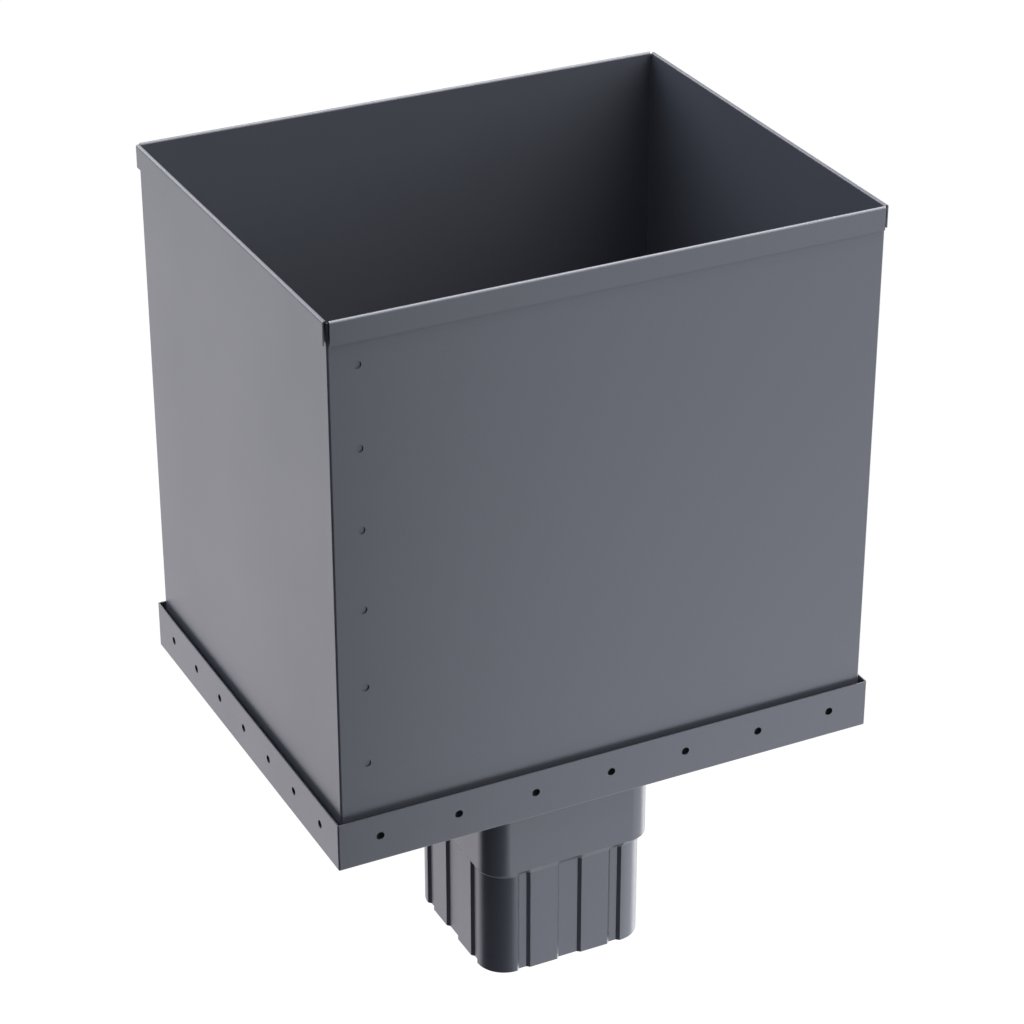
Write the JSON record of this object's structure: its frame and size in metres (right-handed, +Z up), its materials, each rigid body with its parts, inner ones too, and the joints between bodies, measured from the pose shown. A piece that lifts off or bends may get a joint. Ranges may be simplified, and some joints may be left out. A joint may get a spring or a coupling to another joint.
{
  "type": "rainwater hopper",
  "caption": "Open-topped square-sided rainwater hopper of folded sheet, with a hemmed rim, a perforated base tray and a ribbed square outlet spout for a downpipe.",
  "frame": {"origin": "centre of the outlet spout's open lower end", "axes": "+Z up along the outlet; -Y towards the house wall, the side of the lap seam and of the outlet's shift; +X along the hopper's long side"},
  "size_m": [0.3076, 0.2471, 0.4321],
  "materials": {
    "coated_sheet": "satin anthracite grey powder coat"
  },
  "bodies": {
    "root": {"body_wrap": "coated_sheet", "base_tray": "coated_sheet", "outlet_spout": "coated_sheet"}
  },
  "joints": []
}
